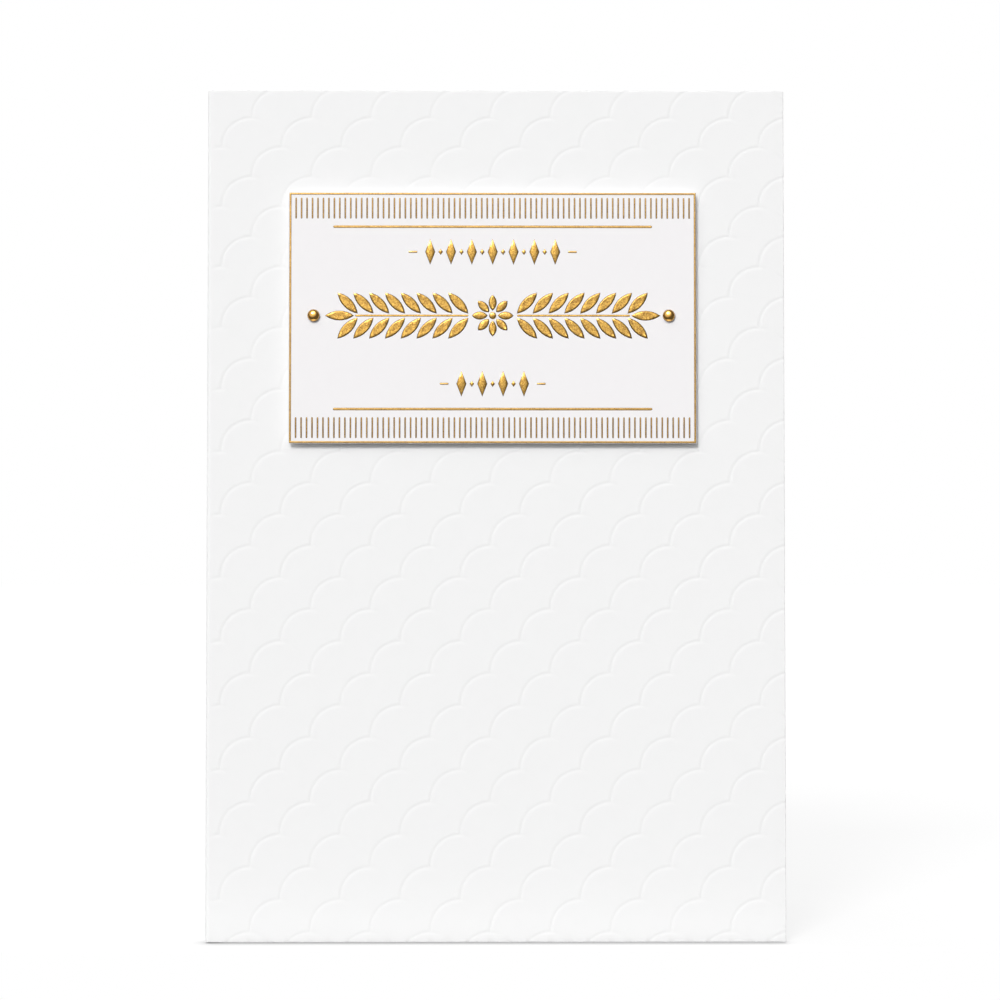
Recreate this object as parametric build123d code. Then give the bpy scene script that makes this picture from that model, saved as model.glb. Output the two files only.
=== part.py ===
"""Greeting card, standing open on its lower edges.

One sheet of heavy white board is folded once, at the left of the front panel.
The front panel is pressed with rows of scallops and carries a raised plaque on
foam pads.  The plaque has a printed foil border, two bands of ticks, two rules,
a laurel band with two rows of lozenges, and a domed stud at each end of the band.

Axes: +X to the right of a reader in front of the card, +Y away from the reader,
+Z up.  The origin is at the centre of the card's footprint, on the table.
"""

import os
from math import acos, asin, ceil, cos, degrees, floor, radians, sin

from build123d import *

# Folded board, in millimetres
panel_width = 120.7  # fold to free edge, 4 3/4 in
panel_height = 177.8  # 7 in
board = 0.45  # thickness of the board
fold_inner_radius = 0.4
opening_angle = 40.0  # degrees between the front and back panels

# Scallops pressed into the front panel
scallop_pitch = 12.5  # crest to crest along a row
scallop_row_pitch = 6.72  # crest to crest from row to row, at the foot of the card
row_closing = 0.000267  # a row is drawn down by this times the cube of its number
scallop_radius = 5.9
scallop_end = 60.0  # degrees over the horizontal where a scallop runs out, right of its crest
scallop_runs = 4  # straight runs from its left foot to that end
first_crest_height = 2.07  # crest of the lowest row above the table
first_crest_inset = 9.0  # from the fold to the first whole crest of that row
groove_width = 0.6
groove_depth = 0.12
fold_margin = 1.0  # plain strip beside the fold
plaque_cover = 0.5  # a groove this far under the plaque is left out

# Raised plaque
plaque_width = 85.0
plaque_height = 52.5
plaque_thickness = 0.5
plaque_from_top = 21.75
plaque_left_shift = 0.65  # the plaque sits this far left of the panel's middle
plaque_edge_break = 0.08

# Foam pads between the panel and the plaque
pad_width = 12.0
pad_height = 8.0
pad_thickness = 1.0
pad_inset = 5.0  # from the plaque's edge to the outer pads
pad_columns = 3
pad_rows = 2

# Foil, pressed into low relief on the plaque
foil_relief = 0.12
foil_draft = 20.0  # degrees that the foil's shoulders slope
border_inset = 0.15
border_width = 0.38
tick_width = 0.34
tick_length = 4.4
tick_pitch = 1.14
tick_from_edge = 1.1  # above and below
tick_from_side = 1.25  # at least this at the left and right
rule_width = 0.36
rule_gap = 1.5  # between a band of ticks and its rule
rule_from_side = 9.2

# Rows of lozenges, one above and one below the laurel band
lozenge_width = 2.1
lozenge_height = 5.4
lozenge_pitch = 4.35
bead_width = 0.95  # small lozenge between two large ones
bead_height = 1.3
lozenge_gap = 2.4  # between a rule and its row
upper_lozenges = 7
lower_lozenges = 4
dash_length = 1.9
dash_width = 0.42
dash_gap = 1.6  # between a row's end and its dash

# Laurel band across the plaque's middle
band_rise = 0.45  # its centre line above the plaque's centre
leaf_length = 6.1
leaf_width = 2.05
leaf_angle = 46.0  # degrees from the stem
leaf_pitch = 3.3
leaf_runs = 4  # straight runs along each side of a leaf or petal
stem_width = 0.42
leaf_gap = 0.22  # from the stem to a leaf's foot
petal_count = 8
petal_length = 3.3
petal_width = 1.7
rosette_eye_radius = 0.75
rosette_eye_sides = 12
petal_gap = 0.3  # from the eye to a petal's foot
branch_gap = 0.7  # from a petal's tip to the stem

# Domed studs at the band's ends
stud_radius = 1.3
stud_height = 1.1
stud_rim = 0.25  # straight wall under the dome
stud_from_side = 5.45  # from the plaque's side to a stud's centre
stud_left_shift = 0.3  # the pair of studs sits this far left of the plaque's middle
stud_clearance = 0.75  # between a stud and the laurel's tip, before the shift

# Sizes that follow from the ones above
fold_outer_radius = fold_inner_radius + board
panel_run = panel_width - fold_outer_radius  # flat part of each panel
fold_turn = 180.0 - opening_angle  # how far the board turns at the fold
along_back = Vector(cos(radians(opening_angle)), sin(radians(opening_angle)))
out_of_back = Vector(-along_back.Y, along_back.X)
front_stack = pad_thickness + plaque_thickness + max(stud_height, foil_relief)
back_reach = fold_outer_radius + panel_run * along_back.Y + fold_outer_radius * out_of_back.Y
front_y = (front_stack - back_reach) / 2
left_x = -panel_width / 2
bend_centre = Vector(left_x + fold_outer_radius, front_y + fold_outer_radius)

plaque_x = -plaque_left_shift
plaque_z = panel_height - plaque_from_top - plaque_height / 2
plaque_face_y = front_y - pad_thickness - plaque_thickness
stud_x = plaque_width / 2 - stud_from_side
rule_height = plaque_height / 2 - tick_from_edge - tick_length - rule_gap - rule_width / 2
lozenge_row_height = rule_height - rule_width / 2 - lozenge_gap - lozenge_height / 2


def facing_reader(x, y, z):
    """Plane through a point of the front, drawn with x to the right and y up."""
    return Plane(origin=(x, y, z), x_dir=(1, 0, 0), z_dir=(0, -1, 0))


plaque_face = facing_reader(plaque_x, plaque_face_y, plaque_z)


def sheet_section():
    """The folded board seen from above: front panel, round fold, back panel."""

    def bend_start(radius):
        return bend_centre - Vector(0, radius)

    def bend_end(radius):
        return bend_centre + out_of_back * radius

    front_free_x = left_x + panel_width
    outer_bend = CenterArc(bend_centre, fold_outer_radius, 270, -fold_turn)
    inner_bend = CenterArc(bend_centre, fold_inner_radius, 270, -fold_turn)
    back_outer = Line(bend_end(fold_outer_radius), bend_end(fold_outer_radius) + along_back * panel_run)
    back_inner = Line(bend_end(fold_inner_radius), bend_end(fold_inner_radius) + along_back * panel_run)
    front_outer = Line(bend_start(fold_outer_radius), (front_free_x, front_y))
    front_inner = Line(bend_start(fold_inner_radius), (front_free_x, front_y + board))
    front_edge = Line(front_outer @ 1, front_inner @ 1)
    back_edge = Line(back_outer @ 1, back_inner @ 1)
    return make_face(
        [front_outer, front_edge, front_inner, inner_bend, back_inner, back_edge, back_outer, outer_bend]
    )


def pressed_height(row):
    """Height of a row's crests. A fraction of a row gives a height between two crests."""
    return first_crest_height + row * scallop_row_pitch - row_closing * row**3


def scallops():
    """Inset and row of every scallop with more on the panel than the ends of its arc."""
    foot = scallop_radius / scallop_row_pitch
    row = 0
    while pressed_height(row - foot) < panel_height - groove_width:
        inset = first_crest_inset - (row % 2) * scallop_pitch / 2
        across = ceil((panel_width + scallop_radius - inset) / scallop_pitch)
        for column in range(across):
            yield inset + column * scallop_pitch, row
        row += 1


def under_plaque(inset, row):
    """True where the plaque hides the whole of a scallop."""
    from_centre_x = inset + left_x - plaque_x
    left_end = from_centre_x - scallop_radius
    right_end = from_centre_x + scallop_radius * cos(radians(scallop_end))
    hidden_x = max(-left_end, right_end) < plaque_width / 2 - plaque_cover
    top = plaque_z + plaque_height / 2 - plaque_cover
    bottom = plaque_z - plaque_height / 2 + plaque_cover
    foot = pressed_height(row - scallop_radius / scallop_row_pitch)
    return hidden_x and pressed_height(row) < top and foot > bottom


def arc_points(radius, start, end, runs):
    """Points that part an arc about the origin into short straight runs, angles in degrees."""
    angles = [radians(start + (end - start) * step / runs) for step in range(runs + 1)]
    return [(radius * cos(angle), radius * sin(angle)) for angle in angles]


def groove(inset, row):
    """V cutter along one scallop, from its left foot over its crest to its right end."""
    over = groove_depth / 2  # how far the cutter stands out of the board
    mouth = groove_width * (groove_depth + over) / groove_depth
    start = 180.0
    if inset - scallop_radius < fold_margin:
        start = degrees(acos((fold_margin - inset) / scallop_radius))
    runs = max(2, round(scallop_runs * (start - scallop_end) / (180.0 - scallop_end)))
    line = []
    for x, z in arc_points(scallop_radius, start, scallop_end, runs):
        height = pressed_height(row + (z - scallop_radius) / scallop_row_pitch)
        line.append(Vector(left_x + inset + x, front_y, height))
    across_start = Plane(origin=line[0], z_dir=line[1] - line[0], x_dir=(0, -1, 0))
    section = across_start * Polygon((over, mouth / 2), (over, -mouth / 2), (-groove_depth, 0), align=None)
    return sweep(section, path=Polyline(*line), transition=Transition.RIGHT)


def folded_card():
    """The whole sheet, with the scallops pressed into the front panel."""
    sheet = extrude(sheet_section(), amount=panel_height)
    return sheet - [groove(inset, row) for inset, row in scallops() if not under_plaque(inset, row)]


def plaque():
    """Flat board with its front edges eased, held off the card by the pads."""
    back = facing_reader(plaque_x, front_y - pad_thickness, plaque_z)
    blank = extrude(back * Rectangle(plaque_width, plaque_height), amount=plaque_thickness)
    front = blank.faces().sort_by(Axis.Y)[0]
    return chamfer(front.edges(), plaque_edge_break)


def foam_pads():
    """Square-cut pads in rows behind the plaque, one solid each."""
    pad = Box(pad_width, pad_thickness, pad_height)
    span_x = plaque_width - 2 * pad_inset - pad_width
    span_z = plaque_height - 2 * pad_inset - pad_height
    pads = {}
    for row in range(pad_rows):
        for column in range(pad_columns):
            x = plaque_x - span_x / 2 + column * span_x / (pad_columns - 1)
            z = plaque_z - span_z / 2 + row * span_z / (pad_rows - 1)
            name = f"foam_pad_{row * pad_columns + column + 1}"
            pads[name] = Pos(x, front_y - pad_thickness / 2, z) * pad
    return pads


def pressed(outline):
    """Foil over a flat outline on the plaque, with sloping shoulders."""
    return extrude(plaque_face * outline, amount=foil_relief, taper=foil_draft)


def moved(foil, x, z):
    """A pressed piece moved across the plaque."""
    return Pos(x, 0, z) * foil


def foil_border():
    """Thin line all round the plaque, just inside its edge."""
    outer = Rectangle(plaque_width - 2 * border_inset, plaque_height - 2 * border_inset)
    inner_inset = 2 * (border_inset + border_width)
    inner = Rectangle(plaque_width - inner_inset, plaque_height - inner_inset)
    return extrude(plaque_face * (outer - inner), amount=foil_relief)


def foil_ticks(side):
    """Band of upright ticks along the upper (side 1) or lower (side -1) edge."""
    tick = pressed(Rectangle(tick_width, tick_length))
    room = plaque_width - 2 * tick_from_side - tick_width
    count = floor(room / tick_pitch) + 1
    z = side * (plaque_height / 2 - tick_from_edge - tick_length / 2)
    start = -(count - 1) * tick_pitch / 2
    return Compound([moved(tick, start + i * tick_pitch, z) for i in range(count)])


def foil_rule(side):
    """Plain line between a band of ticks and its row of lozenges."""
    line = pressed(Rectangle(plaque_width - 2 * rule_from_side, rule_width))
    return moved(line, 0, side * rule_height)


def lozenge(width, height):
    """Upright lozenge centred on the plaque."""
    return pressed(Polygon((-width / 2, 0), (0, -height / 2), (width / 2, 0), (0, height / 2), align=None))


def lozenge_row(side, count):
    """Row of tall lozenges with a small one between each two."""
    tall = lozenge(lozenge_width, lozenge_height)
    small = lozenge(bead_width, bead_height)
    z = side * lozenge_row_height
    start = -(count - 1) * lozenge_pitch / 2
    row = [moved(tall, start + i * lozenge_pitch, z) for i in range(count)]
    row += [moved(small, start + (i + 0.5) * lozenge_pitch, z) for i in range(count - 1)]
    return Compound(row)


def foil_dashes():
    """A short dash at each end of both rows of lozenges."""
    dash = pressed(Rectangle(dash_length, dash_width))
    dashes = []
    for side, count in ((1, upper_lozenges), (-1, lower_lozenges)):
        row_end = (count - 1) * lozenge_pitch / 2 + lozenge_width / 2
        x = row_end + dash_gap + dash_length / 2
        dashes += [moved(dash, way * x, side * lozenge_row_height) for way in (-1, 1)]
    return Compound(dashes)


def leaf(length, width):
    """Pointed leaf, foot at the plaque's centre and tip along +X."""
    radius = (length**2 + width**2) / (4 * width)
    half_turn = degrees(asin(length / 2 / radius))
    upper = arc_points(radius, 90 + half_turn, 90 - half_turn, leaf_runs)
    upper = [(x + length / 2, y + width / 2 - radius) for x, y in upper]
    lower = [(x, -y) for x, y in upper[1:-1]]
    return pressed(Polygon(*lower, *reversed(upper), align=None))


def turned(foil, angle):
    """A pressed piece turned about the plaque's centre, anticlockwise to the reader."""
    axis = Axis(plaque_face.origin, plaque_face.z_dir)
    return foil.rotate(axis, angle)


def laurel_branch():
    """Right half of the band: stem, pairs of leaves and a leaf at the tip."""
    single = leaf(leaf_length, leaf_width)
    rosette_reach = rosette_eye_radius + petal_gap + petal_length
    stem_start = rosette_reach + branch_gap
    tip = stud_x - stud_radius - stud_clearance
    stem_end = tip - leaf_length - leaf_gap
    foot = stem_width / 2 + leaf_gap
    lean = leaf_length * cos(radians(leaf_angle))
    pairs = floor((tip - lean - stem_start) / leaf_pitch) + 1
    stem = pressed(Rectangle(stem_end - stem_start, stem_width))
    pieces = [moved(stem, (stem_start + stem_end) / 2, 0), moved(single, tip - leaf_length, 0)]
    for i in range(pairs):
        for way in (-1, 1):
            x = stem_start + i * leaf_pitch
            pieces.append(moved(turned(single, way * leaf_angle), x, way * foot))
    return pieces


def foil_laurel():
    """Two laurel branches that run out from a rosette of petals."""
    right = laurel_branch()
    left = [turned(piece, 180) for piece in right]
    eye = pressed(RegularPolygon(rosette_eye_radius, rosette_eye_sides))
    petal = moved(leaf(petal_length, petal_width), rosette_eye_radius + petal_gap, 0)
    petals = [turned(petal, i * 360 / petal_count) for i in range(petal_count)]
    return moved(Compound([eye] + petals + left + right), 0, band_rise)


def stud(side):
    """Domed metal stud seated on the plaque, at the left (-1) or right (1)."""
    dome = TangentArc((0, stud_height), (stud_radius, stud_rim), tangent=(1, 0))
    base = Polyline((stud_radius, stud_rim), (stud_radius, 0), (0, 0), (0, stud_height))
    turning = revolve(Plane.XZ * make_face([dome, base]), Axis.Z)
    x = plaque_x - stud_left_shift + side * stud_x
    seat = facing_reader(x, plaque_face_y, plaque_z + band_rise)
    return seat * turning


nodes = {
    "folded_card": folded_card(),
    "plaque": plaque(),
    **foam_pads(),
    "foil_border": foil_border(),
    "foil_ticks_upper": foil_ticks(1),
    "foil_ticks_lower": foil_ticks(-1),
    "foil_rule_upper": foil_rule(1),
    "foil_rule_lower": foil_rule(-1),
    "foil_lozenges_upper": lozenge_row(1, upper_lozenges),
    "foil_lozenges_lower": lozenge_row(-1, lower_lozenges),
    "foil_dashes": foil_dashes(),
    "foil_laurel": foil_laurel(),
    "stud_left": stud(-1),
    "stud_right": stud(1),
}

os.makedirs("parts", exist_ok=True)
for name, shape in nodes.items():
    export_step(shape, f"parts/{name}.step")
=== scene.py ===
"""Dresses a standing greeting card: pressed white board, raised plaque, gold foil and domed studs."""

from math import asin, atan2, cos, hypot, pi, radians, sin, sqrt

import bmesh
import bpy
from mathutils import Matrix, Vector
from mathutils.geometry import delaunay_2d_cdt


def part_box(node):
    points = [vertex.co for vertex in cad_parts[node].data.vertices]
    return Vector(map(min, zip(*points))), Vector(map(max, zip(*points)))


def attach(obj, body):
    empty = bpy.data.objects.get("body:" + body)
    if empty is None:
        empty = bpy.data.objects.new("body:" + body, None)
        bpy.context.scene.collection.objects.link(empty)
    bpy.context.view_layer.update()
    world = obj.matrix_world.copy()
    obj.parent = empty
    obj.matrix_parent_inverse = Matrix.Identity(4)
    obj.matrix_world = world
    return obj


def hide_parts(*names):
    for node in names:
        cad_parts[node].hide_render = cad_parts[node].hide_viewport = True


bl_info = {
    "name": "Standing Greeting Card",
    "version": (1, 0, 0),
    "blender": (4, 5, 0),
    "location": "View3D > Sidebar > Card",
    "description": "Makes the pressed board, the plaque, the foil and the studs of a folded card",
    "category": "Add Mesh",
}

MM = 0.001
BODY = "root"
# Points this near to each other, in metres, are one point
SAME_PLACE = 1e-7
# How far the foot of a foil form reaches into the plaque
SUNK = 0.02 * MM

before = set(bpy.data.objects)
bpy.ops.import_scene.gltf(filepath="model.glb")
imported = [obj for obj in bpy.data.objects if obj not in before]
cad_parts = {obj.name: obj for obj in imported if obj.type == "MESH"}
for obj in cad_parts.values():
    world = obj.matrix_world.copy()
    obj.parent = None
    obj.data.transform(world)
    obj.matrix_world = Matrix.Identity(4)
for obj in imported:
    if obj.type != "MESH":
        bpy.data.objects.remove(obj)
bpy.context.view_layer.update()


# Places that come from the solids

sheet_low, sheet_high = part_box("folded_card")
plaque_low, plaque_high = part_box("plaque")
plaque_middle = (plaque_low + plaque_high) / 2
plaque_face = plaque_low.y


def linear(hex_colour):
    """Linear red, green and blue of an sRGB hex colour."""
    channels = [int(hex_colour[i : i + 2], 16) / 255 for i in (1, 3, 5)]
    return [c / 12.92 if c <= 0.04045 else ((c + 0.055) / 1.055) ** 2.4 for c in channels]


# Settings that a user may change


def length(name, millimetres, description):
    """A length, given in millimetres and kept in metres."""
    return bpy.props.FloatProperty(
        name=name, description=description, default=millimetres * MM, unit="LENGTH", precision=5
    )


def turn(name, degrees, description):
    """An angle, given in degrees."""
    return bpy.props.FloatProperty(
        name=name, description=description, default=radians(degrees), subtype="ANGLE"
    )


def share(name, default, description):
    """A plain factor."""
    return bpy.props.FloatProperty(name=name, description=description, default=default, subtype="FACTOR")


def colour(name, hex_colour, description):
    """A colour, given as sRGB hex and kept linear."""
    return bpy.props.FloatVectorProperty(
        name=name, description=description, default=linear(hex_colour), subtype="COLOR", min=0, max=1
    )


class SheetSettings(bpy.types.PropertyGroup):
    """Folded sheet and the scallops pressed into its front."""

    board: length("Board", 0.45, "Thickness of the sheet")
    fold_radius: length("Fold radius", 0.4, "Inner radius of the fold")
    opening: turn("Opening", 40, "Angle between the two panels")
    pitch: length("Scallop pitch", 12.5, "Crest to crest along a row")
    row_pitch: length("Row pitch", 6.72, "Crest to crest from row to row, at the foot of the card")
    row_closing: length("Row closing", 0.000267, "How the rows close up, by the cube of their number")
    radius: length("Scallop radius", 5.9, "Radius of a scallop's centre line")
    first_height: length("Lowest crest", 2.07, "Height of the lowest row's crests")
    first_inset: length("First inset", 9.0, "From the fold to the lowest row's first crest")
    groove_width: length("Groove width", 0.85, "Width of the pressed line")
    groove_depth: length("Groove depth", 0.046, "Depth of the pressed line")
    fade_start: turn("Fade start", -5, "Where a scallop's line starts to run out, past its crest")
    fade_end: turn("Fade end", 28, "Where a scallop's line has run out, past its crest")
    fold_margin: length("Fold margin", 1.0, "Distance over which the relief dies out beside the fold")
    edge_round: length("Edge round", 0.12, "Radius of the cut edges of the board")
    white: colour("Board white", "#F6F6F6", "Colour of the board")


class PlaqueSettings(bpy.types.PropertyGroup):
    """Raised plaque and its foam pads."""

    edge_round: length("Edge round", 0.06, "Radius of the plaque's front edges")
    corner_round: length("Corner round", 0.12, "Radius of the plaque's corners")
    pad_bulge: length("Pad bulge", 0.12, "How far a squeezed pad swells at its sides")
    white: colour("Plaque white", "#F5F3F4", "Colour of the plaque")
    foam: colour("Foam", "#EDEDEA", "Colour of the foam pads")


class FoilSettings(bpy.types.PropertyGroup):
    """Gold foil, pressed up out of the plaque."""

    relief: length("Relief", 0.16, "Height of a leaf's or lozenge's top above the plaque")
    shoulder: length("Shoulder", 0.3, "Width of the sloping edge of a leaf or lozenge")
    line_relief: length("Line relief", 0.08, "Height of a thin line above the plaque")
    line_shoulder: length("Line shoulder", 0.09, "Width of the sloping edge of a thin line")
    tick_width: length("Tick width", 0.34, "Width of a tick")
    tick_pitch: length("Tick pitch", 1.14, "Distance between ticks")
    border_width: length("Border width", 0.42, "Width of the line round the plaque")
    border_out: length("Border out", 0.08, "How far that line runs out over the plaque's rounded edge")
    rule_width: length("Rule width", 0.54, "Width of the long lines")
    lozenge_width: length("Lozenge width", 2.1, "Width of a tall lozenge")
    lozenge_pitch: length("Lozenge pitch", 4.35, "Distance between tall lozenges")
    bead_width: length("Bead width", 0.95, "Width of a small lozenge")
    bead_height: length("Bead height", 1.3, "Height of a small lozenge")
    dash_length: length("Dash length", 1.9, "Length of a dash")
    dash_width: length("Dash width", 0.42, "Width of a dash")
    dash_gap: length("Dash gap", 1.6, "From a row of lozenges to its dash")
    ridge: length("Ridge", 0.1, "Rise of a lozenge's middle over its edge")
    leaf_length: length("Leaf length", 6.1, "Foot to tip")
    leaf_width: length("Leaf width", 2.05, "Across the middle")
    leaf_pitch: length("Leaf pitch", 3.3, "Distance between pairs of leaves")
    leaf_lean: turn("Leaf lean", 46, "Angle between a leaf and the stem")
    leaf_vein: length("Leaf vein", 0.06, "Depth of the crease along a leaf")
    leaf_gap: length("Leaf gap", 0.22, "From the stem to a leaf's foot")
    stem_width: length("Stem width", 0.42, "Width of the stem")
    petals: bpy.props.IntProperty(name="Petals", description="Petals in the rosette", default=8, min=3)
    petal_length: length("Petal length", 3.3, "Foot to tip")
    petal_width: length("Petal width", 1.7, "Across the middle")
    petal_gap: length("Petal gap", 0.3, "From the eye to a petal's foot")
    eye_radius: length("Eye radius", 0.75, "Radius of the rosette's eye")
    branch_gap: length("Branch gap", 0.7, "From a petal's tip to the stem")
    gold: colour("Foil gold", "#C49C46", "Colour of the foil")
    deep_gold: colour("Deep gold", "#7E581B", "Colour of the foil's darker grain")
    # Painted shade: the thin lines take a darker copy of the foil's colours
    shaded_line_gold: colour("Line gold", "#BA9551", "Colour of the foil on thin lines")
    shaded_deep_line: colour("Deep line gold", "#7E5F2B", "Colour of the darker grain on thin lines")
    # Painted shade: the dark brown of the crease at the foot of the foil's shoulders
    crease_shade_gold: colour("Foot gold", "#4A2E0E", "Colour of the foil at the foot of its shoulders")


class StudSettings(bpy.types.PropertyGroup):
    """Domed studs."""

    rim: length("Rim", 0.25, "Straight wall under the dome")
    gold: colour("Stud gold", "#DCA64C", "Colour of the plated studs")
    # Painted dark reflection: the dark brown ring towards the foot of each dome
    foot: colour("Stud foot", "#2C1505", "Colour of the plating at the foot of the dome")


class StageSettings(bpy.types.PropertyGroup):
    """Camera, lamps and floor."""

    distance: length("Camera distance", 500, "From the camera to the front of the card")
    height: length("Camera height", 76.5, "Height of the camera above the floor")
    side: length("Camera side", -2.1, "How far right of the card's middle the camera stands")
    pan: turn("Pan", -0.342, "Turn of the camera to the left")
    tilt: turn("Tilt", 1.755, "How far the camera looks up")
    lens: bpy.props.FloatProperty(
        name="Lens", description="Focal length in millimetres", default=86.27, unit="CAMERA"
    )
    key_lean: turn("Key lean", 35.5, "Angle of the key lamp from straight in front of the card")
    key_roll: turn("Key roll", 28, "Angle of the key lamp from straight above, towards the left")
    key_spread: turn("Key spread", 15, "Angle that the key lamp fills, which softens its shadows")
    key_strength: share("Key strength", 1.8, "Strength of the key lamp")
    softbox: share("Softbox", 1.19, "Light level of the wide softbox in front of the card")
    softbox_lift: turn("Softbox lift", 31, "Height of the softbox's middle over the horizon")
    softbox_left: share("Softbox left", 0.25, "How far left of the card's front the softbox stands")
    softbox_full: turn("Softbox full", 24, "Angle from its middle that it lights evenly")
    softbox_reach: turn("Softbox reach", 58, "Angle from its middle at which its light is gone")
    spot: share("Spot", 5, "Level at which metal shows the small bright lamp over the softbox")
    spot_lift: turn("Spot lift", 38, "Height of the small lamp over the horizon")
    spot_left: share("Spot left", 0.1, "How far left of the card's front the small lamp stands")
    spot_reach: turn("Spot reach", 27, "Angle from its middle that the small lamp fills")
    dark_room: share("Dark room", 0.07, "Light level of the room beside the lamps")
    mirrored_room: share("Mirrored room", 0.15, "Level at which metal shows the room beside the lamps")
    mirrored_floor: share("Mirrored floor", 1.8, "Level at which metal shows the floor in front")
    backdrop: share("Backdrop", 1.0, "Light level of the wall behind the card, which looks white")
    floor_white: colour("Floor white", "#828282", "Colour of the floor")
    floor_lift: share("Floor lift", 0.785, "White added to the floor for the camera and for reflections")
    floor_gap: length("Floor gap", 0.22, "Hair's breadth under the card's cut edge")
    # Painted contact shadow: how far the floor's added white is dimmed round what stands on it
    contact: length("Contact", 3.5, "Distance over which the floor darkens beside what stands on it")
    floor_front: length("Floor front", 12, "From the card to the front edge of the floor")


# Node trees


def add_node(tree, kind, inputs=(), **settings):
    """Add a node. Its inputs come by name or in order, and are values, sockets or feeding nodes."""
    node = tree.nodes.new(kind)
    for name, value in settings.items():
        setattr(node, name, value)
    for key, value in inputs.items() if isinstance(inputs, dict) else enumerate(inputs):
        if isinstance(value, bpy.types.Node):
            value = value.outputs[0]
        if isinstance(value, bpy.types.NodeSocket):
            tree.links.new(value, node.inputs[key])
        else:
            node.inputs[key].default_value = value
    return node


def new_geometry_tree(name, inputs):
    """Geometry tree with named inputs and one geometry output. Returns it and its input node."""
    tree = bpy.data.node_groups.new(name, "GeometryNodeTree")
    for socket_name, socket_type in inputs.items():
        tree.interface.new_socket(name=socket_name, in_out="INPUT", socket_type=socket_type)
    tree.interface.new_socket(name="Geometry", in_out="OUTPUT", socket_type="NodeSocketGeometry")
    return tree, tree.nodes.new("NodeGroupInput")


def grow(tree, values, name):
    """Run a geometry tree with its inputs set by name, and return the result as a plain mesh object."""
    host = bpy.data.objects.new(name, bpy.data.meshes.new(name))
    bpy.context.scene.collection.objects.link(host)
    modifier = host.modifiers.new(tree.name, "NODES")
    modifier.node_group = tree
    for item in tree.interface.items_tree:
        if item.in_out == "INPUT":
            modifier[item.identifier] = values[item.name]
    settle(host)
    return host


def settle(piece):
    """Replace a piece's mesh by what its modifiers make of it, and remove them."""
    bpy.context.view_layer.update()
    depsgraph = bpy.context.evaluated_depsgraph_get()
    mesh = bpy.data.meshes.new_from_object(piece.evaluated_get(depsgraph), depsgraph=depsgraph)
    mesh.name = piece.name
    piece.modifiers.clear()
    piece.data = mesh


def repeat_tree():
    """Tree that sets copies of a piece in a row, each turned a step further than the last."""
    tree, given = new_geometry_tree(
        "Repeat Piece",
        {
            "Piece": "NodeSocketObject",
            "Count": "NodeSocketInt",
            "Start": "NodeSocketVector",
            "Step": "NodeSocketVector",
            "Turn": "NodeSocketFloat",
            "Turn Step": "NodeSocketFloat",
            "Finish": "NodeSocketMaterial",
        },
    )
    give = given.outputs
    line = {"Count": give["Count"], "Start Location": give["Start"], "Offset": give["Step"]}
    places = add_node(tree, "GeometryNodeMeshLine", line)
    index = add_node(tree, "GeometryNodeInputIndex")
    turns = (index, give["Turn Step"], give["Turn"])
    angle = add_node(tree, "ShaderNodeMath", turns, operation="MULTIPLY_ADD")
    rotation = add_node(tree, "ShaderNodeCombineXYZ", {"Y": angle})
    piece = add_node(tree, "GeometryNodeObjectInfo", {"Object": give["Piece"]}).outputs["Geometry"]
    row = {"Points": places, "Instance": piece, "Rotation": rotation}
    copies = add_node(tree, "GeometryNodeInstanceOnPoints", row)
    real = add_node(tree, "GeometryNodeRealizeInstances", (copies,))
    painted = add_node(tree, "GeometryNodeSetMaterial", {0: real, "Material": give["Finish"]})
    add_node(tree, "NodeGroupOutput", (painted,))
    return tree


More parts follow.
